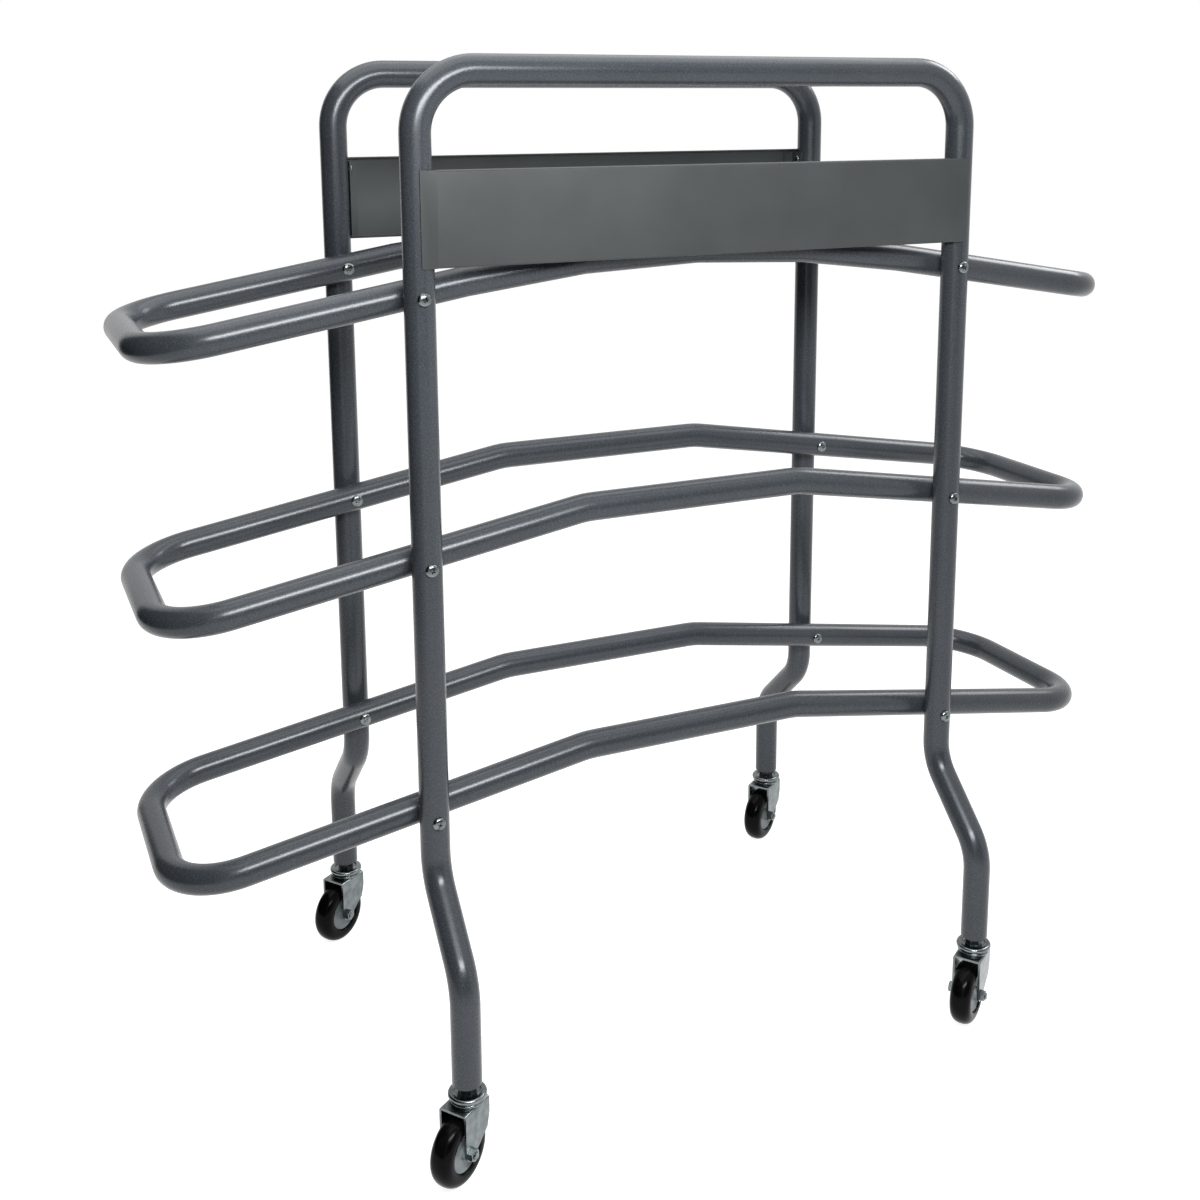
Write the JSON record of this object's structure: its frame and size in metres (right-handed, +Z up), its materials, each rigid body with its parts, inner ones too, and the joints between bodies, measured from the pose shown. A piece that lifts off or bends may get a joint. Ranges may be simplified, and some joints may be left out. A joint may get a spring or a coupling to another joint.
{
  "type": "rolling ball rack",
  "caption": "Wheeled ball rack: painted tube frame with arched rail loops one above the other, sign panels under the top bars and swivel casters on splayed legs.",
  "frame": {"origin": "on the floor under the centre of the rack's box, casters as modelled", "axes": "+Z up; X along the rack and its rails; -Y faces the front, the side with the front panel"},
  "size_m": [1.2048, 0.5698, 1.1534],
  "materials": {
    "tube_paint": "gunmetal grey metallic powder coat, semi-gloss",
    "panel_paint": "charcoal grey enamelled sheet, semi-gloss",
    "zinc": "bright zinc plate",
    "nylon": "black nylon",
    "hub": "grey moulded plastic, satin",
    "tread": "black polyurethane tread, glossy"
  },
  "bodies": {
    "rack": {"front_frame": "tube_paint", "rear_frame": "tube_paint", "front_panel": "panel_paint", "rear_panel": "panel_paint", "bottom_rail_loop": "tube_paint", "middle_rail_loop": "tube_paint", "top_rail_loop": "tube_paint", "bottom_screw_front_left": "zinc", "bottom_sleeve_nut_front_left": "zinc", "bottom_screw_front_right": "zinc", "bottom_sleeve_nut_front_right": "zinc", "bottom_screw_rear_left": "zinc", "bottom_sleeve_nut_rear_left": "zinc", "bottom_screw_rear_right": "zinc", "bottom_sleeve_nut_rear_right": "zinc", "middle_screw_front_left": "zinc", "middle_sleeve_nut_front_left": "zinc", "middle_screw_front_right": "zinc", "middle_sleeve_nut_front_right": "zinc", "middle_screw_rear_left": "zinc", "middle_sleeve_nut_rear_left": "zinc", "middle_screw_rear_right": "zinc", "middle_sleeve_nut_rear_right": "zinc", "top_screw_front_left": "zinc", "top_sleeve_nut_front_left": "zinc", "top_screw_front_right": "zinc", "top_sleeve_nut_front_right": "zinc", "top_screw_rear_left": "zinc", "top_sleeve_nut_rear_left": "zinc", "top_screw_rear_right": "zinc", "top_sleeve_nut_rear_right": "zinc", "panel_screw_front_left": "zinc", "front_left_tube_plug": "nylon", "front_left_caster_stem": "zinc", "panel_screw_front_right": "zinc", "front_right_tube_plug": "nylon", "front_right_caster_stem": "zinc", "panel_screw_rear_left": "zinc", "rear_left_tube_plug": "nylon", "rear_left_caster_stem": "zinc", "panel_screw_rear_right": "zinc", "rear_right_tube_plug": "nylon", "rear_right_caster_stem": "zinc"},
    "front_left_fork": {"front_left_caster_fork": "zinc", "front_left_axle_bolt": "zinc"},
    "front_left_wheel": {"front_left_wheel_hub": "hub", "front_left_wheel_tyre": "tread"},
    "front_right_fork": {"front_right_caster_fork": "zinc", "front_right_axle_bolt": "zinc"},
    "front_right_wheel": {"front_right_wheel_hub": "hub", "front_right_wheel_tyre": "tread"},
    "rear_left_fork": {"rear_left_caster_fork": "zinc", "rear_left_axle_bolt": "zinc"},
    "rear_left_wheel": {"rear_left_wheel_hub": "hub", "rear_left_wheel_tyre": "tread"},
    "rear_right_fork": {"rear_right_caster_fork": "zinc", "rear_right_axle_bolt": "zinc"},
    "rear_right_wheel": {"rear_right_wheel_hub": "hub", "rear_right_wheel_tyre": "tread"}
  },
  "joints": [
    {"name": "front_left_swivel", "type": "hinge", "parent": "rack", "child": "front_left_fork", "pos_m": [-0.325, -0.24567, 0.0866], "axis": [0, 0, 1], "continuous": true},
    {"name": "front_left_axle", "type": "hinge", "parent": "front_left_fork", "child": "front_left_wheel", "pos_m": [-0.34006, -0.25641, 0.0381], "axis": [-0.5807, 0.8141, 0], "continuous": true},
    {"name": "front_right_swivel", "type": "hinge", "parent": "rack", "child": "front_right_fork", "pos_m": [0.325, -0.24567, 0.0866], "axis": [0, 0, 1], "continuous": true},
    {"name": "front_right_axle", "type": "hinge", "parent": "front_right_fork", "child": "front_right_wheel", "pos_m": [0.30994, -0.25641, 0.0381], "axis": [-0.5807, 0.8141, 0], "continuous": true},
    {"name": "rear_left_swivel", "type": "hinge", "parent": "rack", "child": "rear_left_fork", "pos_m": [-0.325, 0.26233, 0.0866], "axis": [0, 0, 1], "continuous": true},
    {"name": "rear_left_axle", "type": "hinge", "parent": "rear_left_fork", "child": "rear_left_wheel", "pos_m": [-0.34006, 0.25159, 0.0381], "axis": [-0.5807, 0.8141, 0], "continuous": true},
    {"name": "rear_right_swivel", "type": "hinge", "parent": "rack", "child": "rear_right_fork", "pos_m": [0.325, 0.26233, 0.0866], "axis": [0, 0, 1], "continuous": true},
    {"name": "rear_right_axle", "type": "hinge", "parent": "rear_right_fork", "child": "rear_right_wheel", "pos_m": [0.30994, 0.25159, 0.0381], "axis": [-0.5807, 0.8141, 0], "continuous": true}
  ]
}
